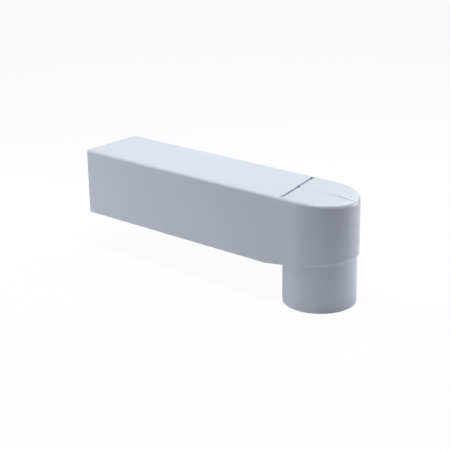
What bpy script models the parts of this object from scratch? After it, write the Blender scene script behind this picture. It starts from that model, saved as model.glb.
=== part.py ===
"""Rainwater outlet in one piece of grey PVC, which carries water from a wall or an edge into a downpipe.

A rectangular duct lies along X and is open at its -X end. Its other end is closed by a rounded head, and
a round spigot points down out of the head. The model is in metres with +Z up. The origin is on the
spigot's axis, at its lower rim, where the outlet is held by the downpipe that the spigot is pushed into.
"""

import math

import bmesh
import bpy
from mathutils import Matrix, Vector

# Spigot
SPIGOT_DIAMETER = 0.080
SPIGOT_WALL = 0.0025
SPIGOT_DROP = 0.0440  # from the duct's underside down to the rim
RIM_RADIUS = 0.0010  # rounding of the rim's outer edge

# Duct and head
SHOULDER = 0.0015  # how far the duct's sides stand out from the spigot
NOSE_LIP = 0.0030  # how far the nose stands out from the spigot
CURVE_LEAD = 0.004  # how far behind the spigot's axis the head's sides start to curve in
DUCT_REACH = 0.314  # from the open end to the spigot's axis
DUCT_HEIGHT = 0.0780
WALL = 0.0030
TOP_EDGE_RADIUS = 0.0035
LOWER_EDGE_RADIUS = 0.0010
INNER_EDGE_RADIUS = 0.0006

# Top and underside of the head, which close in on each other towards the nose
HEAD_FALL = 0.0035  # how much lower the top is at the nose than over the duct
FALL_TO_AXIS = 0.020  # from where the top starts to curve down to the spigot's axis
BREAK_TO_SPIGOT = 0.0040  # from the line where the rise starts to the spigot
NOSE_RISE = 0.0122  # how much higher the underside is at the nose than under the duct

# Slanting groove across the top, with a short foot at each end and a dimple in its middle
GROOVE_TO_AXIS = 0.0290  # measured at the dimple
GROOVE_SLANT = math.radians(12.5)  # turns the groove's +Y end towards the duct's open end
GROOVE_WIDTH = 0.0034
GROOVE_DEPTH = 0.0020
GROOVE_TO_EDGE = 0.0006  # from the groove's end to the start of the rounded edge, before the slant
FOOT_LENGTH = 0.0012
DIMPLE_DIAMETER = 0.0042
DIMPLE_DEPTH = 0.0024

# Mould line, a hairline recess from the groove over the head and down its nose
MOULD_LINE_WIDTH = 0.0004
MOULD_LINE_DEPTH = 0.0002

# How finely round shapes are divided
ROUND_STEPS = 96
TOP_EDGE_STEPS = 5
FALL_STEPS = 6
SMALL_EDGE_STEPS = 2
DIMPLE_STEPS = 16

# How far a cutter runs past the surface that it cuts
CLEAR = 0.005

SMOOTH_ANGLE = math.radians(30)
PVC_COLOUR = (0.56, 0.59, 0.68, 1.0)
PVC_ROUGHNESS = 0.42

SPIGOT_RADIUS = SPIGOT_DIAMETER / 2
BORE_RADIUS = SPIGOT_RADIUS - SPIGOT_WALL
HALF_WIDTH = SPIGOT_RADIUS + SHOULDER
UNDERSIDE_Z = SPIGOT_DROP
TOP_Z = UNDERSIDE_Z + DUCT_HEIGHT
MOUTH_X = -DUCT_REACH
CURVE_X = -CURVE_LEAD
NOSE_X = SPIGOT_RADIUS + NOSE_LIP
BREAK_X = -(SPIGOT_RADIUS + BREAK_TO_SPIGOT)
FALL_X = -FALL_TO_AXIS
GROOVE_X = -GROOVE_TO_AXIS


def clear_scene():
    """Removes whatever the opened file holds."""
    for obj in list(bpy.data.objects):
        bpy.data.objects.remove(obj, do_unlink=True)


def new_object(name, bm):
    """Makes an object of the bmesh, with every face turned outwards."""
    bmesh.ops.recalc_face_normals(bm, faces=bm.faces)
    mesh = bpy.data.meshes.new(name)
    bm.to_mesh(mesh)
    bm.free()
    obj = bpy.data.objects.new(name, mesh)
    bpy.context.scene.collection.objects.link(obj)
    return obj


def rigid_pvc():
    """Moulded rigid PVC: pale blue-grey, evenly coloured, with a soft shine."""
    material = bpy.data.materials.new("rigid_pvc")
    material.use_nodes = True
    shader = material.node_tree.nodes["Principled BSDF"]
    shader.inputs["Base Color"].default_value = PVC_COLOUR
    shader.inputs["Roughness"].default_value = PVC_ROUGHNESS
    shader.inputs["Metallic"].default_value = 0.0
    material.diffuse_color = PVC_COLOUR
    return material


def round_edges(bm, edges, radius, steps):
    """Rounds the edges with circular arcs."""
    bmesh.ops.bevel(
        bm,
        geom=edges,
        offset=radius,
        offset_type="OFFSET",
        segments=steps,
        profile=0.5,
        affect="EDGES",
        material=-1,
        clamp_overlap=True,
    )


def cut_off(bm, point, outwards):
    """Cuts away what lies beyond the plane through the point, and closes the cut."""
    cut = bmesh.ops.bisect_plane(
        bm,
        geom=bm.verts[:] + bm.edges[:] + bm.faces[:],
        plane_co=point,
        plane_no=outwards.normalized(),
        clear_outer=True,
    )
    rim = [item for item in cut["geom_cut"] if isinstance(item, bmesh.types.BMEdge)]
    bmesh.ops.contextual_create(bm, geom=rim)


def raise_underside(bm, floor_z):
    """Lets the head's underside rise straight from the break to the nose."""
    rise = NOSE_RISE / (NOSE_X - BREAK_X)
    cut_off(bm, (BREAK_X, 0.0, floor_z), Vector((rise, 0.0, -1.0)))


def fall_at(x):
    """How much lower the top is at x, along a parabola that is drawn in straight steps."""
    share = min(max((x - FALL_X) / (NOSE_X - FALL_X), 0.0), 1.0)
    before = math.floor(share * FALL_STEPS) / FALL_STEPS
    return HEAD_FALL * (before**2 + (share - before) * (2 * before + 1 / FALL_STEPS))


def lower_top(bm, floor_z, ceiling_z):
    """Curves the head's top down towards the nose, together with its rounded edge."""
    middle_z = (floor_z + ceiling_z) / 2
    for step in range(FALL_STEPS):
        line_x = FALL_X + (NOSE_X - FALL_X) * step / FALL_STEPS
        upper = [vert for vert in bm.verts if vert.co.z > middle_z]
        for item in bm.edges[:] + bm.faces[:]:
            if all(vert.co.z > middle_z for vert in item.verts):
                upper.append(item)
        bmesh.ops.bisect_plane(
            bm,
            geom=upper,
            dist=CLEAR / 1000,
            plane_co=(line_x, 0.0, 0.0),
            plane_no=(1.0, 0.0, 0.0),
        )
    for vert in bm.verts:
        if vert.co.z > middle_z:
            vert.co.z -= fall_at(vert.co.x)


def duct_and_head(half_width, mouth_x, nose_x, floor_z, ceiling_z, upper_radius, lower_radius, upper_steps):
    """The closed form of the duct and its rounded head, used for the outside and for the hollow.

    The head's plan is half an ellipse, which carries on from the duct's sides round to the nose.
    """
    bm = bmesh.new()
    start = bm.verts.new((CURVE_X, -half_width, floor_z))
    bmesh.ops.spin(
        bm,
        geom=[start],
        cent=(CURVE_X, 0.0, floor_z),
        axis=(0.0, 0.0, 1.0),
        angle=math.pi,
        steps=ROUND_STEPS // 2,
    )
    stretch = (nose_x - CURVE_X) / half_width
    bmesh.ops.scale(bm, vec=(stretch, 1.0, 1.0), space=Matrix.Translation((-CURVE_X, 0.0, 0.0)), verts=bm.verts)
    bm.verts.ensure_lookup_table()
    end = max(bm.verts, key=lambda vert: vert.co.y)
    far_corner = bm.verts.new((mouth_x, half_width, floor_z))
    near_corner = bm.verts.new((mouth_x, -half_width, floor_z))
    for pair in ((end, far_corner), (far_corner, near_corner), (near_corner, start)):
        bm.edges.new(pair)
    bmesh.ops.contextual_create(bm, geom=bm.edges[:])
    raised = bmesh.ops.extrude_face_region(bm, geom=bm.faces[:])
    lid = [item for item in raised["geom"] if isinstance(item, bmesh.types.BMVert)]
    bmesh.ops.translate(bm, vec=(0.0, 0.0, ceiling_z - floor_z), verts=lid)
    raise_underside(bm, floor_z)
    bmesh.ops.recalc_face_normals(bm, faces=bm.faces)

    def along_rim(edge, above):
        """True for an edge of the top (above) or of the underside, apart from the mouth and the break."""
        if all(abs(vert.co.x - mouth_x) < CLEAR / 100 for vert in edge.verts):
            return False
        lid_faces = [face for face in edge.link_faces if abs(face.normal.z) > 0.5]
        return len(lid_faces) == 1 and (lid_faces[0].normal.z > 0.0) == above

    round_edges(bm, [edge for edge in bm.edges if along_rim(edge, True)], upper_radius, upper_steps)
    round_edges(bm, [edge for edge in bm.edges if along_rim(edge, False)], lower_radius, SMALL_EDGE_STEPS)
    lower_top(bm, floor_z, ceiling_z)
    return bm


def outer_form():
    """Outside of the duct and the head, solid for now."""
    bm = duct_and_head(
        HALF_WIDTH, MOUTH_X, NOSE_X, UNDERSIDE_Z, TOP_Z, TOP_EDGE_RADIUS, LOWER_EDGE_RADIUS, TOP_EDGE_STEPS
    )
    return new_object("outlet_body", bm)


def hollow():
    """The space that the water runs through, from past the mouth to the inside of the nose."""
    bm = duct_and_head(
        HALF_WIDTH - WALL,
        MOUTH_X - CLEAR,
        NOSE_X - WALL,
        UNDERSIDE_Z + WALL,
        TOP_Z - WALL,
        INNER_EDGE_RADIUS,
        INNER_EDGE_RADIUS,
        SMALL_EDGE_STEPS,
    )
    return new_object("hollow_cutter", bm)


def upright_cylinder(name, radius, low_z, high_z, lower_edge_radius=0.0):
    """A cylinder on the spigot's axis, with its lower edge rounded if a radius is given."""
    bm = bmesh.new()
    bmesh.ops.create_cone(
        bm,
        cap_ends=True,
        segments=ROUND_STEPS,
        radius1=radius,
        radius2=radius,
        depth=high_z - low_z,
        matrix=Matrix.Translation((0.0, 0.0, (low_z + high_z) / 2)),
    )
    if lower_edge_radius > 0.0:
        middle_z = (low_z + high_z) / 2
        lower = [edge for edge in bm.edges if all(vert.co.z < middle_z for vert in edge.verts)]
        round_edges(bm, lower, lower_edge_radius, SMALL_EDGE_STEPS)
    return new_object(name, bm)


def spigot_form():
    """Outside of the spigot, which reaches up into the head."""
    top_z = UNDERSIDE_Z + NOSE_RISE + WALL + CLEAR
    return upright_cylinder("spigot_form", SPIGOT_RADIUS, 0.0, top_z, RIM_RADIUS)


def bore():
    """The spigot's bore, which opens the head's floor."""
    top_z = UNDERSIDE_Z + NOSE_RISE + WALL + 2 * CLEAR
    return upright_cylinder("bore_cutter", BORE_RADIUS, -CLEAR, top_z)


def extruded(name, outline, direction, turn=Matrix()):
    """A prism of a flat outline, pushed along the direction and then turned."""
    bm = bmesh.new()
    face = bm.faces.new([bm.verts.new(point) for point in outline])
    pushed = bmesh.ops.extrude_face_region(bm, geom=[face])
    moved = [item for item in pushed["geom"] if isinstance(item, bmesh.types.BMVert)]
    bmesh.ops.translate(bm, vec=direction, verts=moved)
    bmesh.ops.transform(bm, matrix=turn, verts=bm.verts)
    return new_object(name, bm)


def groove():
    """The slanting groove across the top, whose two ends turn towards the duct."""
    low_z = TOP_Z - GROOVE_DEPTH
    end_y = HALF_WIDTH - TOP_EDGE_RADIUS - GROOVE_TO_EDGE
    inner_y = end_y - GROOVE_WIDTH
    front_x = GROOVE_X + GROOVE_WIDTH / 2
    back_x = GROOVE_X - GROOVE_WIDTH / 2
    foot_x = back_x - FOOT_LENGTH
    outline = (
        (front_x, -end_y, low_z),
        (front_x, end_y, low_z),
        (foot_x, end_y, low_z),
        (foot_x, inner_y, low_z),
        (back_x, inner_y, low_z),
        (back_x, -inner_y, low_z),
        (foot_x, -inner_y, low_z),
        (foot_x, -end_y, low_z),
    )
    dimple_spot = Vector((GROOVE_X, 0.0, 0.0))
    slant = Matrix.Rotation(GROOVE_SLANT, 4, "Z")
    turn = Matrix.Translation(dimple_spot) @ slant @ Matrix.Translation(-dimple_spot)
    return extruded("groove_cutter", outline, (0.0, 0.0, GROOVE_DEPTH + CLEAR), turn)


def dimple():
    """The round dimple in the middle of the groove."""
    bm = bmesh.new()
    height = DIMPLE_DEPTH + CLEAR
    bmesh.ops.create_cone(
        bm,
        cap_ends=True,
        segments=DIMPLE_STEPS,
        radius1=DIMPLE_DIAMETER / 2,
        radius2=DIMPLE_DIAMETER / 2,
        depth=height,
        matrix=Matrix.Translation((GROOVE_X, 0.0, TOP_Z - DIMPLE_DEPTH + height / 2)),
    )
    return new_object("dimple_cutter", bm)


def mould_line():
    """The hairline along the middle of the head's top, round its edge and down its nose."""
    side_y = -MOULD_LINE_WIDTH / 2
    inset = MOULD_LINE_DEPTH
    turn_radius = TOP_EDGE_RADIUS - inset
    turn_x = NOSE_X - TOP_EDGE_RADIUS
    turn_z = TOP_Z - TOP_EDGE_RADIUS
    foot_z = UNDERSIDE_Z
    outline = [
        (FALL_X, side_y, TOP_Z - inset),
        (GROOVE_X, side_y, TOP_Z - inset),
        (GROOVE_X, side_y, TOP_Z + CLEAR),
        (NOSE_X + CLEAR, side_y, TOP_Z + CLEAR),
        (NOSE_X + CLEAR, side_y, foot_z),
        (NOSE_X - inset, side_y, foot_z),
    ]
    for step in range(TOP_EDGE_STEPS + 1):
        turn = math.radians(90) * step / TOP_EDGE_STEPS
        x = turn_x + turn_radius * math.cos(turn)
        outline.append((x, side_y, turn_z + turn_radius * math.sin(turn) - fall_at(x)))
    for step in range(FALL_STEPS - 1, 0, -1):
        line_x = FALL_X + (NOSE_X - FALL_X) * step / FALL_STEPS
        outline.append((line_x, side_y, TOP_Z - fall_at(line_x) - inset))
    return extruded("mould_line_cutter", outline, (0.0, MOULD_LINE_WIDTH, 0.0))


def combine(body, other, operation):
    """Adds a Boolean of the other object to the body and keeps that object as a hidden guide."""
    modifier = body.modifiers.new(other.name, "BOOLEAN")
    modifier.operation = operation
    modifier.solver = "EXACT"
    modifier.object = other
    other.hide_render = True
    other.display_type = "WIRE"


def settle(body, guides):
    """Applies the body's modifiers, removes their guides and shades the round faces smooth."""
    graph = bpy.context.evaluated_depsgraph_get()
    finished = bpy.data.meshes.new_from_object(body.evaluated_get(graph))
    finished.name = body.name
    body.modifiers.clear()
    body.data = finished
    for guide in guides:
        bpy.data.objects.remove(guide, do_unlink=True)
    finished.shade_smooth()
    finished.set_sharp_from_angle(angle=SMOOTH_ANGLE)


def build_outlet():
    """Builds the whole outlet as one body."""
    body = outer_form()
    spigot = spigot_form()
    combine(body, spigot, "UNION")
    cutters = [hollow(), bore(), groove(), dimple(), mould_line()]
    for cutter in cutters:
        combine(body, cutter, "DIFFERENCE")
    settle(body, [spigot] + cutters)
    body.data.materials.clear()
    body.data.materials.append(rigid_pvc())
    return body


clear_scene()
build_outlet()
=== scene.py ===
"""Dresses the one-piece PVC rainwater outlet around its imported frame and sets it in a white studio.

All lengths are in metres in the frame's own axes: +X runs to the rounded nose, +Z points up, and the
origin is on the spigot's axis in the plane of its lower rim.
"""

import logging
import math
from dataclasses import dataclass
from enum import Enum
from typing import Any

import bmesh
import bpy
from bmesh.types import BMEdge, BMesh, BMVert
from mathutils import Matrix, Vector


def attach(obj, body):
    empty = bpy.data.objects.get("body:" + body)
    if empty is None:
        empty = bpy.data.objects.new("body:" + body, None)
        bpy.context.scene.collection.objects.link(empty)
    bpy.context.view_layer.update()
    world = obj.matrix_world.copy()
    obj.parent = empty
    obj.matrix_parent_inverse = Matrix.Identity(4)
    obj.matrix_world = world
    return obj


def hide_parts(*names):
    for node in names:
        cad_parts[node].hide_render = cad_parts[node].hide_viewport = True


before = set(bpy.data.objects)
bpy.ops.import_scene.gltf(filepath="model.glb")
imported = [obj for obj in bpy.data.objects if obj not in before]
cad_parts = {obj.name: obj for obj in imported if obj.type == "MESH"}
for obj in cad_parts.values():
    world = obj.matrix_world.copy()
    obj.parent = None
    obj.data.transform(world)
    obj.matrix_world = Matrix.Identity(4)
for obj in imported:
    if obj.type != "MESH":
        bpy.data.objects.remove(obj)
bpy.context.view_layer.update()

LOG = logging.getLogger("outlet")
MM = 0.001
IMAGE_PIXELS = 450
SENSOR_WIDTH_MM = 36.0

MERGE = 0.001 * MM  # corners closer together than this become one
SNAP = 0.005 * MM  # a corner this near a cutting plane counts as lying on it
NEAR = 0.05 * MM  # an edge this near a plane or a round surface belongs to it
LEVEL = 0.9  # a face whose normal has more than this along Z lies flat, or nearly so
UPRIGHT = 0.1  # and one whose normal has less than this stands upright
CORNER = math.radians(60)  # an edge whose faces turn by more than this is a corner
SHARP = math.radians(30)  # and one past this is shaded as sharp

Colour = tuple[float, float, float, float]
Point = tuple[float, float, float]


class Cut(Enum):
    """What a Boolean does with the form that it is given."""

    JOIN = "UNION"
    REMOVE = "DIFFERENCE"


class Rim(Enum):
    """The two rims of a long form, by the way that their lid faces along Z."""

    UPPER = 1
    LOWER = -1


def linear_colour(code: str) -> Colour:
    """Turns an sRGB hex code into the linear colour that the shaders use.

    Args:
        code: The colour as "#RRGGBB".

    Returns:
        Linear red, green, blue and an alpha of 1.
    """
    channels = []
    for place in (1, 3, 5):
        value = int(code[place:place + 2], 16) / 255
        channels.append(value / 12.92 if value <= 0.04045 else ((value + 0.055) / 1.055) ** 2.4)
    return channels[0], channels[1], channels[2], 1.0


def towards(azimuth: float, elevation: float) -> Vector:
    """Finds the way from the outlet to a place round it.

    Args:
        azimuth: The place's azimuth in degrees, where 0 is the -Y side and 90 the +X side.
        elevation: Its elevation in degrees.

    Returns:
        The unit vector from the outlet towards the place.
    """
    turn, lift = math.radians(azimuth), math.radians(elevation)
    level = math.cos(lift)
    return Vector((math.sin(turn) * level, -math.cos(turn) * level, math.sin(lift)))


def add_node(
    tree: bpy.types.NodeTree,
    kind: str,
    inputs: dict[str | int, Any] | None = None,
    links: dict[str | int, bpy.types.NodeSocket] | None = None,
    **settings: Any,
) -> bpy.types.Node:
    """Adds one node to a tree with its settings, constants and links.

    Args:
        tree: The node tree that gets the node.
        kind: The node's type name.
        inputs: Constants for its input sockets, by name or number.
        links: Output sockets to link into its input sockets, by name or number.
        **settings: The node's own attributes.

    Returns:
        The new node.
    """
    node = tree.nodes.new(kind)
    for name, value in settings.items():
        setattr(node, name, value)
    for socket, value in (inputs or {}).items():
        node.inputs[socket].default_value = value
    for socket, source in (links or {}).items():
        tree.links.new(source, node.inputs[socket])
    return node


def direct_rays(tree: bpy.types.NodeTree, rays: bpy.types.Node) -> bpy.types.NodeSocket:
    """Picks out the rays that see the room itself: the camera's, a shine's and those through glass.

    Args:
        tree: The node tree that gets the nodes.
        rays: Its Light Path node.

    Returns:
        A socket that is 1 for those rays and 0 for all others.
    """
    direct = rays.outputs["Is Camera Ray"]
    for kind in ("Is Glossy Ray", "Is Transmission Ray"):
        either = add_node(
            tree, "ShaderNodeMath", operation="MAXIMUM", links={0: direct, 1: rays.outputs[kind]}
        )
        direct = either.outputs[0]
    return direct


def empty_material(name: str) -> bpy.types.Material:
    """Makes a material whose node tree is empty.

    Args:
        name: The material's name.

    Returns:
        The new material.
    """
    material = bpy.data.materials.new(name)
    material.use_nodes = True
    material.node_tree.nodes.clear()
    return material


def new_object(name: str, bm: BMesh) -> bpy.types.Object:
    """Makes an object of a finished bmesh, with its faces turned outwards.

    Args:
        name: The object's name.
        bm: The form, which is freed.

    Returns:
        The new object, linked to the scene.
    """
    bmesh.ops.remove_doubles(bm, verts=bm.verts, dist=MERGE)
    bmesh.ops.recalc_face_normals(bm, faces=bm.faces)
    mesh = bpy.data.meshes.new(name)
    bm.to_mesh(mesh)
    bm.free()
    obj = bpy.data.objects.new(name, mesh)
    bpy.context.scene.collection.objects.link(obj)
    return obj


def round_edges(bm: BMesh, edges: list[BMEdge], radius: float, steps: int) -> None:
    """Rounds edges with circular arcs.

    Args:
        bm: The form.
        edges: The edges to round.
        radius: The offset of the arc's ends from the edge, which is its radius on a square edge.
        steps: Segments in each arc.
    """
    bmesh.ops.bevel(
        bm,
        geom=edges,
        offset=radius,
        offset_type="OFFSET",
        segments=steps,
        profile=0.5,
        affect="EDGES",
        material=-1,
        clamp_overlap=True,
    )


def cut_off(bm: BMesh, point: Point, outwards: Vector) -> None:
    """Cuts away what lies beyond a plane and closes the cut.

    Args:
        bm: The form.
        point: A point of the plane.
        outwards: The plane's normal, which points at what goes.
    """
    cut = bmesh.ops.bisect_plane(
        bm,
        geom=bm.verts[:] + bm.edges[:] + bm.faces[:],
        plane_co=point,
        plane_no=outwards.normalized(),
        clear_outer=True,
    )
    rim = [item for item in cut["geom_cut"] if isinstance(item, BMEdge)]
    bmesh.ops.contextual_create(bm, geom=rim)


def raise_outline(outline: list[Point], push: Point) -> BMesh:
    """Makes a prism of a flat outline.

    Args:
        outline: The corners in order.
        push: How far and which way the outline is pushed.

    Returns:
        The closed prism.
    """
    bm = bmesh.new()
    corners = [bmesh.ops.create_vert(bm, co=point)["vert"][0] for point in outline]
    face = bm.faces.new(corners)
    pushed = bmesh.ops.extrude_face_region(bm, geom=[face])
    moved = [item for item in pushed["geom"] if isinstance(item, BMVert)]
    bmesh.ops.translate(bm, vec=push, verts=moved)
    bmesh.ops.recalc_face_normals(bm, faces=bm.faces)
    return bm


def cylinder(radius: float, steps: int, foot: Point, height: float) -> BMesh:
    """Makes an upright cylinder.

    Args:
        radius: Its radius.
        steps: Sides round it.
        foot: Middle of its lower end.
        height: How far it reaches up from there.

    Returns:
        The closed cylinder.
    """
    bm = bmesh.new()
    bmesh.ops.create_cone(
        bm,
        cap_ends=True,
        segments=steps,
        radius1=radius,
        radius2=radius,
        depth=height,
        matrix=Matrix.Translation(Vector(foot) + Vector((0.0, 0.0, height / 2))),
    )
    return bm


def apply_modifiers(obj: bpy.types.Object) -> None:
    """Turns an object's modifiers into plain mesh.

    Args:
        obj: The object, which keeps its name and loses its modifiers.
    """
    graph = bpy.context.evaluated_depsgraph_get()
    finished = bpy.data.meshes.new_from_object(obj.evaluated_get(graph))
    finished.name = obj.name
    obj.modifiers.clear()
    obj.data = finished


def carve(body: bpy.types.Object, steps: list[tuple[Cut, bpy.types.Object]]) -> None:
    """Joins forms to a body or takes them away from it, in order, and removes the forms.

    Args:
        body: The object that is worked.
        steps: What is done, and with which form.
    """
    for cut, form in steps:
        modifier = body.modifiers.new(form.name, "BOOLEAN")
        modifier.operation = cut.value
        modifier.solver = "EXACT"
        modifier.object = form
    apply_modifiers(body)
    for _, form in steps:
        bpy.data.objects.remove(form, do_unlink=True)


@dataclass(frozen=True)
class Noise:
    """A noise pattern on the surface: the size of its patches, and how much finer noise they hold."""

    size: float
    detail: float
    roughness: float

    @property
    def settings(self) -> dict[str | int, Any]:
        """Constants for the sockets of a noise node."""
        return {"Scale": 1 / self.size, "Detail": self.detail, "Roughness": self.roughness}


@dataclass(frozen=True)
class MouldedPvc:
    """Rigid PVC, injection moulded: coloured right through and satin, with a faint grain.

    The eye gets an even pale blue-grey that hardly changes over the part, and broad soft lights
    instead of sharp reflections.
    """

    name: str = "moulded_rigid_pvc"
    main: str = "#C0C3DC"
    drift: str = "#C3C6DC"
    drift_noise: Noise = Noise(70 * MM, 2.0, 0.5)  # pigment changes slowly as the melt fills the tool
    ior: float = 1.54
    roughness: float = 0.32
    roughness_spread: float = 0.03
    flow_noise: Noise = Noise(18 * MM, 3.0, 0.55)  # patches where the melt froze smoother or rougher
    grain_noise: Noise = Noise(0.9 * MM, 3.0, 0.6)  # the tool's is nearer 0.1 mm, coarser here to show
    grain_height: float = 0.006 * MM
    painted_shade_colour: str = "#6F6E78"  # painted shade: a dark patch in the groove's dimple that stands in for the shadow in the hollow
    painted_shade_reach: float = 3.4 * MM  # from the middle of the dimple's floor
    painted_shade_share: float = 0.85  # how much it hides of the plastic there

    def make(self, dimple: Point) -> bpy.types.Material:
        """Builds the material.

        Args:
            dimple: Middle of the floor of the groove's dimple, the centre of the painted shade.

        Returns:
            The material.
        """
        material = empty_material(self.name)
        tree = material.node_tree
        place = add_node(tree, "ShaderNodeTexCoord").outputs["Object"]
        drift = add_node(
            tree, "ShaderNodeTexNoise", inputs=self.drift_noise.settings, links={"Vector": place}
        )
        colour = add_node(
            tree,
            "ShaderNodeMix",
            data_type="RGBA",
            inputs={6: linear_colour(self.main), 7: linear_colour(self.drift)},
            links={0: drift.outputs["Fac"]},
        )
        # Painted shade: the base colour darkens towards the dimple's floor, standing in for the shadow
        # in the hollow.
        away = add_node(
            tree, "ShaderNodeVectorMath", operation="DISTANCE", inputs={1: dimple}, links={0: place}
        )
        painted_shade_mask = add_node(
            tree,
            "ShaderNodeMapRange",
            interpolation_type="SMOOTHSTEP",
            inputs={"From Max": self.painted_shade_reach, "To Min": self.painted_shade_share, "To Max": 0.0},
            links={"Value": away.outputs["Value"]},
        )
        painted_shade_mix = add_node(
            tree,
            "ShaderNodeMix",
            data_type="RGBA",
            inputs={7: linear_colour(self.painted_shade_colour)},
            links={0: painted_shade_mask.outputs["Result"], 6: colour.outputs[2]},
        )
        flow = add_node(
            tree, "ShaderNodeTexNoise", inputs=self.flow_noise.settings, links={"Vector": place}
        )
        roughness = add_node(
            tree,
            "ShaderNodeMapRange",
            inputs={
                "To Min": self.roughness - self.roughness_spread,
                "To Max": self.roughness + self.roughness_spread,
            },
            links={"Value": flow.outputs["Fac"]},
        )
        grain = add_node(
            tree, "ShaderNodeTexNoise", inputs=self.grain_noise.settings, links={"Vector": place}
        )
        bump = add_node(
            tree,
            "ShaderNodeBump",
            inputs={"Strength": 1.0, "Distance": self.grain_height},
            links={"Height": grain.outputs["Fac"]},
        )
        shader = add_node(
            tree,
            "ShaderNodeBsdfPrincipled",
            inputs={"IOR": self.ior, "Metallic": 0.0},
            links={
                "Base Color": painted_shade_mix.outputs[2],
                "Roughness": roughness.outputs["Result"],
                "Normal": bump.outputs["Normal"],
            },
        )
        add_node(tree, "ShaderNodeOutputMaterial", links={"Surface": shader.outputs["BSDF"]})
        return material


@dataclass
class OutletShell:
    """The whole outlet, moulded as one shell: the duct, its rounded head and the spigot."""

    finish: MouldedPvc
    spigot_radius: float = 40 * MM
    spigot_wall: float = 2.5 * MM
    spigot_drop: float = 44 * MM  # from the duct's underside down to the rim
    rim_radius: float = 1 * MM
    rim_inner_radius: float = 0.4 * MM
    root_radius: float = 0.5 * MM  # where the spigot leaves the head's underside
    half_width: float = 41.5 * MM
    duct_height: float = 78 * MM
    mouth_x: float = -314 * MM
    curve_x: float = -4 * MM  # where the head's sides start to curve in
    nose_x: float = 43 * MM
    wall: float = 3 * MM
    top_edge_radius: float = 3.5 * MM
    lower_edge_radius: float = 1.7 * MM
    inner_edge_radius: float = 0.6 * MM
    sawn_edge_radius: float = 0.3 * MM  # the open end's cut edges, with their burr scraped off
    break_x: float = -44 * MM  # where the underside starts to rise
    nose_rise: float = 12.2 * MM
    nose_fall: float = 3.5 * MM
    fall_x: float = -20 * MM  # where the top starts to curve down
    groove_x: float = -29.4 * MM
    groove_slant: float = 12.5  # degrees, with the +Y end nearer the open end
    groove_width: float = 4.2 * MM
    groove_depth: float = 2.3 * MM
    groove_near_length: float = 37.4 * MM  # from the middle to the end at the -Y side
    groove_far_length: float = 37.8 * MM
    groove_lip_radius: float = 0.25 * MM
    groove_floor_radius: float = 0.4 * MM
    foot_length: float = 1.2 * MM
    dimple_radius: float = 2.7 * MM
    dimple_depth: float = 2.7 * MM
    dimple_shift: float = 4.5 * MM  # along the groove, from its middle towards +Y
    seam_start_depth: float = 0.12 * MM  # at the groove
    seam_end_depth: float = 0.8 * MM  # at the nose
    seam_course: tuple[tuple[float, float, float], ...] = (  # place along X, place across and width
        (-29 * MM, 0.0 * MM, 0.20 * MM),
        (-2 * MM, 0.1 * MM, 0.20 * MM),
        (6 * MM, 1.0 * MM, 0.25 * MM),
        (12 * MM, 2.0 * MM, 0.5 * MM),
        (18 * MM, 3.0 * MM, 0.7 * MM),
        (22 * MM, 3.5 * MM, 1.4 * MM),
        (26.5 * MM, 3.6 * MM, 2.2 * MM),
        (29 * MM, 3.6 * MM, 0.9 * MM),
        (33 * MM, 3.6 * MM, 1.1 * MM),
        (35 * MM, 3.6 * MM, 0.3 * MM),
        (36.5 * MM, 3.7 * MM, 0.7 * MM),
        (39.5 * MM, 3.8 * MM, 0.6 * MM),
        (41 * MM, 3.8 * MM, 0.3 * MM),
        (45 * MM, 3.8 * MM, 0.3 * MM),
    )
    nose_seam_width: float = 0.3 * MM
    nose_seam_depth: float = 0.1 * MM
    plan_steps: int = 96  # round the head's half ellipse
    spigot_steps: int = 192
    top_edge_steps: int = 8
    fall_steps: int = 12
    small_edge_steps: int = 4
    fine_edge_steps: int = 3
    sawn_edge_steps: int = 2
    dimple_steps: int = 32
    clear: float = 5 * MM  # how far a cutter runs past the surface that it cuts

    @property
    def underside_z(self) -> float:
        """Height of the duct's underside."""
        return self.spigot_drop

    @property
    def top_z(self) -> float:
        """Height of the duct's top."""
        return self.spigot_drop + self.duct_height

    @property
    def bore_radius(self) -> float:
        """Inner radius of the spigot."""
        return self.spigot_radius - self.spigot_wall

    @property
    def dimple_place(self) -> Point:
        """Middle of the dimple's floor."""
        slant = math.radians(self.groove_slant)
        x = self.groove_x - self.dimple_shift * math.sin(slant)
        return x, self.dimple_shift * math.cos(slant), self.top_z - self.dimple_depth

    def fall_at(self, x: float) -> float:
        """Tells how much lower the top is at a place along the head than over the duct.

        Args:
            x: The place.

        Returns:
            The fall, along a parabola that is drawn in straight steps.
        """
        share = min(max((x - self.fall_x) / (self.nose_x - self.fall_x), 0.0), 1.0)
        before = math.floor(share * self.fall_steps) / self.fall_steps
        return self.nose_fall * (before**2 + (share - before) * (2 * before + 1 / self.fall_steps))

    def raise_underside(self, bm: BMesh, floor_z: float) -> None:
        """Lets the head's underside rise straight from the break to the nose.

        Args:
            bm: The closed form of the duct and the head.
            floor_z: Height of the form's underside.
        """
        rise = self.nose_rise / (self.nose_x - self.break_x)
        cut_off(bm, (self.break_x, 0.0, floor_z), Vector((rise, 0.0, -1.0)))

    def lower_top(self, bm: BMesh, middle_z: float) -> None:
        """Curves the head's top down towards the nose, together with its rounded edge.

        Args:
            bm: The closed form with its edges rounded.
            middle_z: A height between the form's lower and upper edges.
        """
        for step in range(self.fall_steps):
            line_x = self.fall_x + (self.nose_x - self.fall_x) * step / self.fall_steps
            upper = [vert for vert in bm.verts if vert.co.z > middle_z]
            for item in bm.edges[:] + bm.faces[:]:
                if all(vert.co.z > middle_z for vert in item.verts):
                    upper.append(item)
            bmesh.ops.bisect_plane(
                bm,
                geom=upper,
                dist=SNAP,
                plane_co=(line_x, 0.0, 0.0),
                plane_no=(1.0, 0.0, 0.0),
            )
        for vert in bm.verts:
            if vert.co.z > middle_z:
                vert.co.z -= self.fall_at(vert.co.x)

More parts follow.
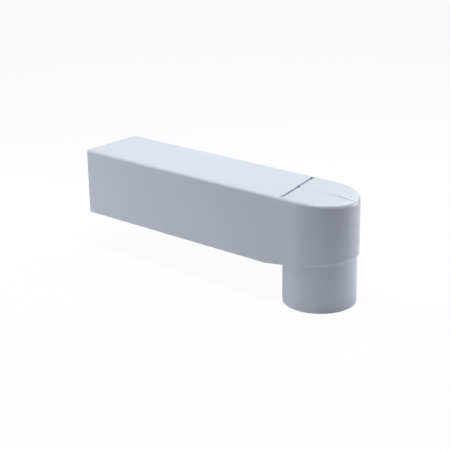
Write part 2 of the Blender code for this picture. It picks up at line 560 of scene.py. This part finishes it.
    def rim_edges(self, bm: BMesh, rim: Rim, mouth_x: float) -> list[BMEdge]:
        """Finds the edges that run round the top or the underside, but for those at the open end.

        Args:
            bm: The closed form of the duct and the head.
            rim: Which of the two rims.
            mouth_x: Where the form's open end is.

        Returns:
            The edges.
        """
        found = []
        for edge in bm.edges:
            if all(abs(vert.co.x - mouth_x) < NEAR for vert in edge.verts):
                continue
            lids = [face for face in edge.link_faces if abs(face.normal.z) > LEVEL]
            if len(lids) == 1 and lids[0].normal.z * rim.value > 0.0:
                found.append(edge)
        return found

    def long_form(
        self, inset: float, mouth_x: float, upper_radius: float, lower_radius: float
    ) -> BMesh:
        """Makes the closed form of the duct and its rounded head, for the outside or for the hollow.

        The head's plan is half an ellipse, which carries on from the duct's sides round to the nose.

        Args:
            inset: How far the form stays inside the outlet's outer surface.
            mouth_x: Where its open end is.
            upper_radius: Rounding of its upper edges.
            lower_radius: Rounding of its lower edges.

        Returns:
            The form.
        """
        half_width = self.half_width - inset
        floor_z = self.underside_z + inset
        ceiling_z = self.top_z - inset
        bm = bmesh.new()
        start = bmesh.ops.create_vert(bm, co=(self.curve_x, -half_width, floor_z))["vert"][0]
        bmesh.ops.spin(
            bm,
            geom=[start],
            cent=(self.curve_x, 0.0, floor_z),
            axis=(0.0, 0.0, 1.0),
            angle=math.pi,
            steps=self.plan_steps,
        )
        stretch = (self.nose_x - inset - self.curve_x) / half_width
        centre = Matrix.Translation((-self.curve_x, 0.0, 0.0))
        bmesh.ops.scale(bm, vec=(stretch, 1.0, 1.0), space=centre, verts=bm.verts)
        end = max(bm.verts, key=lambda vert: vert.co.y)
        far = bmesh.ops.create_vert(bm, co=(mouth_x, half_width, floor_z))["vert"][0]
        near = bmesh.ops.create_vert(bm, co=(mouth_x, -half_width, floor_z))["vert"][0]
        for pair in ((end, far), (far, near), (near, start)):
            bmesh.ops.contextual_create(bm, geom=pair)
        bmesh.ops.contextual_create(bm, geom=bm.edges[:])
        raised = bmesh.ops.extrude_face_region(bm, geom=bm.faces[:])
        lid = [item for item in raised["geom"] if isinstance(item, BMVert)]
        bmesh.ops.translate(bm, vec=(0.0, 0.0, ceiling_z - floor_z), verts=lid)
        self.raise_underside(bm, floor_z)
        bmesh.ops.recalc_face_normals(bm, faces=bm.faces)
        round_edges(bm, self.rim_edges(bm, Rim.UPPER, mouth_x), upper_radius, self.top_edge_steps)
        round_edges(bm, self.rim_edges(bm, Rim.LOWER, mouth_x), lower_radius, self.small_edge_steps)
        self.lower_top(bm, (floor_z + ceiling_z) / 2)
        return bm

    def casing(self) -> BMesh:
        """Returns the outside of the duct and the head, solid for now."""
        return self.long_form(0.0, self.mouth_x, self.top_edge_radius, self.lower_edge_radius)

    def waterway(self) -> BMesh:
        """Returns the space that the water runs through, from past the open end to inside the nose."""
        radius = self.inner_edge_radius
        return self.long_form(self.wall, self.mouth_x - self.clear, radius, radius)

    def spigot(self) -> BMesh:
        """Makes the outside of the spigot, with its rim rounded.

        Returns:
            The closed form, which reaches up into the head.
        """
        height = self.underside_z + self.nose_rise + self.wall + self.clear
        bm = cylinder(self.spigot_radius, self.spigot_steps, (0.0, 0.0, 0.0), height)
        lower = [edge for edge in bm.edges if all(vert.co.z < NEAR for vert in edge.verts)]
        round_edges(bm, lower, self.rim_radius, self.small_edge_steps)
        return bm

    def bore(self) -> BMesh:
        """Returns the spigot's bore, which opens the head's floor."""
        height = self.underside_z + self.nose_rise + self.wall + 3 * self.clear
        return cylinder(self.bore_radius, self.spigot_steps, (0.0, 0.0, -self.clear), height)

    def groove(self) -> BMesh:
        """Makes the cutter of the slanting groove, whose near end turns towards the open end.

        Returns:
            The closed cutter, with its lower edges rounded.
        """
        low_z = self.top_z - self.groove_depth
        near_y = -self.groove_near_length
        inner_y = near_y + self.groove_width
        front_x = self.groove_x + self.groove_width / 2
        back_x = self.groove_x - self.groove_width / 2
        foot_x = back_x - self.foot_length
        outline = [
            (front_x, near_y, low_z),
            (front_x, self.groove_far_length, low_z),
            (back_x, self.groove_far_length, low_z),
            (back_x, inner_y, low_z),
            (foot_x, inner_y, low_z),
            (foot_x, near_y, low_z),
        ]
        bm = raise_outline(outline, (0.0, 0.0, self.groove_depth + self.clear))
        floor = [edge for edge in bm.edges if all(vert.co.z < low_z + NEAR for vert in edge.verts)]
        round_edges(bm, floor, self.groove_floor_radius, self.fine_edge_steps)
        spot = Vector((self.groove_x, 0.0, 0.0))
        slant = Matrix.Rotation(math.radians(self.groove_slant), 4, "Z")
        bmesh.ops.rotate(bm, cent=spot, matrix=slant, verts=bm.verts)
        return bm

    def dimple(self) -> BMesh:
        """Returns the cutter of the round dimple in the groove."""
        height = self.dimple_depth + self.clear
        return cylinder(self.dimple_radius, self.dimple_steps, self.dimple_place, height)

    def top_seam(self) -> BMesh:
        """Makes the cutter of the seam along the head's top, opened by shrinkage near the nose.

        Returns:
            The closed cutter, whose underside follows the falling top.
        """
        high_z = self.top_z + self.clear
        outline = [(x, y - width / 2, high_z) for x, y, width in self.seam_course]
        outline += [(x, y + width / 2, high_z) for x, y, width in reversed(self.seam_course)]
        bm = raise_outline(outline, (0.0, 0.0, -self.clear))
        for vert in bm.verts:
            if vert.co.z > self.top_z + self.clear / 2:
                continue
            share = (vert.co.x - self.groove_x) / (self.nose_x - self.groove_x)
            depth = self.seam_start_depth + (self.seam_end_depth - self.seam_start_depth) * share
            vert.co.z = self.top_z - self.fall_at(vert.co.x) - depth
        return bm

    def nose_seam(self) -> BMesh:
        """Makes the cutter of the fine seam that runs round the top edge and down the nose.

        Returns:
            The closed cutter.
        """
        inset = self.nose_seam_depth
        turn_radius = self.top_edge_radius - inset
        turn_x = self.nose_x - self.top_edge_radius
        turn_z = self.top_z - self.top_edge_radius
        side_y = self.seam_course[-1][1] - self.nose_seam_width / 2
        outline = [
            (turn_x, side_y, self.top_z + self.clear),
            (self.nose_x + self.clear, side_y, self.top_z + self.clear),
            (self.nose_x + self.clear, side_y, self.underside_z),
            (self.nose_x - inset, side_y, self.underside_z),
        ]
        for step in range(self.top_edge_steps + 1):
            turn = math.radians(90) * step / self.top_edge_steps
            x = turn_x + turn_radius * math.cos(turn)
            outline.append((x, side_y, turn_z + turn_radius * math.sin(turn) - self.fall_at(x)))
        return raise_outline(outline, (0.0, self.nose_seam_width, 0.0))

    def soften(self, body: bpy.types.Object) -> None:
        """Takes the sharpness off the sawn mouth, the rim, the spigot's root and the groove.

        Args:
            body: The hollow outlet with its groove cut.
        """
        bm = bmesh.new()
        bm.from_mesh(body.data)
        groups = (
            (self.mouth_edges, self.sawn_edge_radius, self.sawn_edge_steps),
            (self.rim_inner_edges, self.rim_inner_radius, self.fine_edge_steps),
            (self.root_edges, self.root_radius, self.fine_edge_steps),
            (self.lip_edges, self.groove_lip_radius, self.fine_edge_steps),
        )
        for find, radius, steps in groups:
            edges = find(bm)
            LOG.info("%s: %d edges rounded by %.2f mm", find.__name__, len(edges), radius / MM)
            round_edges(bm, edges, radius, steps)
        bm.to_mesh(body.data)
        bm.free()

    def mouth_edges(self, bm: BMesh) -> list[BMEdge]:
        """Finds the edges round the open end, outside and inside.

        Args:
            bm: The hollow outlet.

        Returns:
            The edges.
        """
        return [
            edge
            for edge in bm.edges
            if all(abs(vert.co.x - self.mouth_x) < NEAR for vert in edge.verts)
            and edge.is_manifold
            and edge.calc_face_angle(0.0) > CORNER
        ]

    def rim_inner_edges(self, bm: BMesh) -> list[BMEdge]:
        """Finds the edges where the bore meets the spigot's rim.

        Args:
            bm: The hollow outlet.

        Returns:
            The edges.
        """
        return [
            edge
            for edge in bm.edges
            if all(
                vert.co.z < NEAR and abs(vert.co.xy.length - self.bore_radius) < NEAR
                for vert in edge.verts
            )
        ]

    def root_edges(self, bm: BMesh) -> list[BMEdge]:
        """Finds the edges where the spigot's outside meets the head's underside.

        Args:
            bm: The hollow outlet.

        Returns:
            The edges.
        """
        return [
            edge
            for edge in bm.edges
            if all(
                vert.co.z > self.underside_z / 2 and abs(vert.co.xy.length - self.spigot_radius) < NEAR
                for vert in edge.verts
            )
            and sum(face.normal.z < -LEVEL for face in edge.link_faces) == 1
        ]

    def lip_edges(self, bm: BMesh) -> list[BMEdge]:
        """Finds the edges where the groove and its dimple meet the flat top.

        Args:
            bm: The hollow outlet.

        Returns:
            The edges.
        """
        margin = MM / 2  # keeps clear of the outlet's other rounded edges
        half_width = self.half_width - self.top_edge_radius - margin
        lowest_z = self.top_z - self.groove_depth / 2
        found = []
        for edge in bm.edges:
            if not edge.is_manifold or any(vert.co.z < lowest_z for vert in edge.verts):
                continue
            lids = [face for face in edge.link_faces if face.normal.z > LEVEL]
            walls = [face for face in edge.link_faces if abs(face.normal.z) < UPRIGHT]
            middle = (edge.verts[0].co + edge.verts[1].co) / 2
            inside = abs(middle.y) < half_width and middle.x > self.mouth_x + margin
            if len(lids) == 1 and len(walls) == 1 and inside:
                found.append(edge)
        return found

    def build(self) -> bpy.types.Object:
        """Builds the outlet as one mesh and gives it its finish.

        Returns:
            The outlet, riding on the frame in place of the plain solid.
        """
        body = new_object("outlet_shell", self.casing())
        carve(
            body,
            [
                (Cut.JOIN, new_object("spigot_form", self.spigot())),
                (Cut.REMOVE, new_object("waterway_form", self.waterway())),
                (Cut.REMOVE, new_object("bore_form", self.bore())),
                (Cut.REMOVE, new_object("groove_form", self.groove())),
                (Cut.REMOVE, new_object("dimple_form", self.dimple())),
            ],
        )
        self.soften(body)
        carve(
            body,
            [
                (Cut.REMOVE, new_object("top_seam_form", self.top_seam())),
                (Cut.REMOVE, new_object("nose_seam_form", self.nose_seam())),
            ],
        )
        body.data.shade_smooth()
        body.data.set_sharp_from_angle(angle=SHARP)
        weighted = body.modifiers.new("weighted_normals", "WEIGHTED_NORMAL")
        weighted.keep_sharp = True
        body.data.materials.clear()
        body.data.materials.append(self.finish.make(self.dimple_place))
        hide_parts("outlet_body")
        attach(body, "root")
        return body


@dataclass(frozen=True)
class SoftBox:
    """A soft square lamp that looks at the middle of the outlet, with its angles in degrees."""

    name: str
    azimuth: float
    elevation: float
    distance: float
    side: float
    watts: float
    tint: str = "#FFFFFF"

    def hang(self, target: Vector) -> bpy.types.Object:
        """Puts the lamp in the scene.

        Args:
            target: The point that it looks at.

        Returns:
            The lamp.
        """
        light = bpy.data.lights.new(self.name, "AREA")
        light.shape = "SQUARE"
        light.size = self.side
        light.energy = self.watts
        light.color = linear_colour(self.tint)[:3]
        lamp = bpy.data.objects.new(self.name, light)
        outwards = towards(self.azimuth, self.elevation)
        lamp.location = target + outwards * self.distance
        lamp.rotation_euler = outwards.to_track_quat("Z", "Y").to_euler()
        lamp.visible_camera = False
        bpy.context.scene.collection.objects.link(lamp)
        return lamp


@dataclass(frozen=True)
class WhiteSweep:
    """The studio's white floor, which the camera sees as plain white with a faint shadow on it."""

    name: str = "white_sweep"
    paint: str = "#F7F7F7"
    side: float = 30.0
    drop: float = 0.2 * MM  # keeps it clear of the spigot's rim
    shadow_share: float = 0.06  # how much of the real lighting shows in what the camera sees
    mirrored_share: float = 0.7  # and how much of it in the outlet's own shine

    def make_paint(self) -> bpy.types.Material:
        """Builds the floor's material.

        Returns:
            Matt white paint under the lamps, which the camera sees as nearly plain white.
        """
        material = empty_material("matt_white_paint")
        tree = material.node_tree
        rays = add_node(tree, "ShaderNodeLightPath")
        matt = add_node(tree, "ShaderNodeBsdfDiffuse", inputs={"Color": linear_colour(self.paint)})
        white = add_node(tree, "ShaderNodeEmission", inputs={"Strength": 1.0})
        share = add_node(
            tree,
            "ShaderNodeMapRange",
            inputs={"To Min": self.shadow_share, "To Max": self.mirrored_share},
            links={"Value": rays.outputs["Is Glossy Ray"]},
        )
        seen = add_node(
            tree,
            "ShaderNodeMixShader",
            links={0: share.outputs["Result"], 1: white.outputs[0], 2: matt.outputs[0]},
        )
        front = add_node(
            tree,
            "ShaderNodeMixShader",
            links={0: direct_rays(tree, rays), 1: matt.outputs[0], 2: seen.outputs[0]},
        )
        below = add_node(tree, "ShaderNodeBsdfTransparent")
        side = add_node(tree, "ShaderNodeNewGeometry").outputs["Backfacing"]
        surface = add_node(
            tree, "ShaderNodeMixShader", links={0: side, 1: front.outputs[0], 2: below.outputs[0]}
        )
        add_node(tree, "ShaderNodeOutputMaterial", links={"Surface": surface.outputs[0]})
        return material

    def build(self) -> bpy.types.Object:
        """Lays the floor under the outlet.

        Returns:
            The floor, which isn't part of the object.
        """
        bm = bmesh.new()
        bmesh.ops.create_grid(bm, x_segments=1, y_segments=1, size=self.side / 2)
        bmesh.ops.translate(bm, vec=(0.0, 0.0, -self.drop), verts=bm.verts)
        floor = new_object(self.name, bm)
        floor.data.materials.append(self.make_paint())
        return floor


@dataclass(frozen=True)
class Studio:
    """The room round the outlet: white to the eye and in a shine, and lit by its lamps alone."""

    lamps: tuple[SoftBox, ...] = (
        SoftBox("lamp_high", 41.0, 80.0, 0.9, 0.15, 4.05, "#FAFFF0"),
        SoftBox("lamp_behind", 180.0, 45.0, 0.9, 0.6, 3.3, "#FAFFF0"),
        SoftBox("lamp_left_top", -90.0, 70.0, 0.9, 0.6, 2.75, "#FAFFF0"),
        SoftBox("lamp_left", -55.0, 45.0, 0.8, 0.4, 0.8),
        SoftBox("lamp_left_low", -75.0, 5.0, 0.8, 0.4, 1.76),
        SoftBox("lamp_front_low", -20.0, 8.0, 1.6, 0.9, 3.4),
        SoftBox("lamp_right_low", 140.0, 5.0, 0.9, 0.4, 3.74),
    )
    centre: Point = (-100 * MM, 0.0, 70 * MM)
    colour: str = "#FFFFFF"

    def light(self) -> None:
        """Sets the world and hangs the lamps."""
        world = bpy.data.worlds.new("white_room")
        bpy.context.scene.world = world
        world.use_nodes = True
        tree = world.node_tree
        tree.nodes.clear()
        rays = add_node(tree, "ShaderNodeLightPath")
        room = add_node(
            tree,
            "ShaderNodeBackground",
            inputs={"Color": linear_colour(self.colour)},
            links={"Strength": direct_rays(tree, rays)},
        )
        add_node(tree, "ShaderNodeOutputWorld", links={"Surface": room.outputs[0]})
        for lamp in self.lamps:
            lamp.hang(Vector(self.centre))


@dataclass(frozen=True)
class Viewpoint:
    """The camera, fitted to the outlet's edges in the photograph.

    Angles are in degrees and the focal length is in pixels of the square image. The camera looks
    along a line through the target, and then slides sideways and up without turning.
    """

    azimuth: float = 41.275
    elevation: float = 19.539
    roll: float = -0.896
    focal_pixels: float = 1194.306
    distance: float = 1320.614 * MM
    slide_right: float = -24.987 * MM
    slide_up: float = -38.463 * MM
    target: Point = (-100 * MM, 0.0, 104 * MM)

    def place(self) -> bpy.types.Object:
        """Puts the camera in the scene and makes it the scene's own.

        Returns:
            The camera.
        """
        back = towards(self.azimuth, self.elevation)
        level = towards(self.azimuth + 90, 0.0)
        upright = back.cross(level)
        roll = math.radians(self.roll)
        right = level * math.cos(roll) + upright * math.sin(roll)
        up = upright * math.cos(roll) - level * math.sin(roll)
        data = bpy.data.cameras.new("photo_camera")
        data.sensor_width = SENSOR_WIDTH_MM
        data.lens = self.focal_pixels / IMAGE_PIXELS * SENSOR_WIDTH_MM
        camera = bpy.data.objects.new("photo_camera", data)
        bpy.context.scene.collection.objects.link(camera)
        turned = Matrix((right, up, back)).transposed().to_4x4()
        spot = Vector(self.target) + right * self.slide_right + up * self.slide_up
        spot += back * self.distance
        camera.matrix_world = Matrix.Translation(spot) @ turned
        bpy.context.scene.camera = camera
        return camera


def write_sizes() -> None:
    """Updates the view layer."""
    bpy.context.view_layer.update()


def main() -> None:
    """Builds the outlet, the floor, the light and the camera in order."""
    logging.basicConfig(level=logging.INFO, format="%(name)s: %(message)s")
    bpy.context.scene.view_settings.view_transform = "Standard"
    outlet = OutletShell(finish=MouldedPvc()).build()
    LOG.info("%s: %d faces", outlet.name, len(outlet.data.polygons))
    sweep = WhiteSweep()
    floor = sweep.build()
    LOG.info("%s: %.0f m wide", floor.name, sweep.side)
    studio = Studio()
    studio.light()
    LOG.info("studio: %d lamps", len(studio.lamps))
    camera = Viewpoint().place()
    LOG.info("%s: %.0f mm lens", camera.name, camera.data.lens)
    write_sizes()


if __name__ == "__main__":
    main()
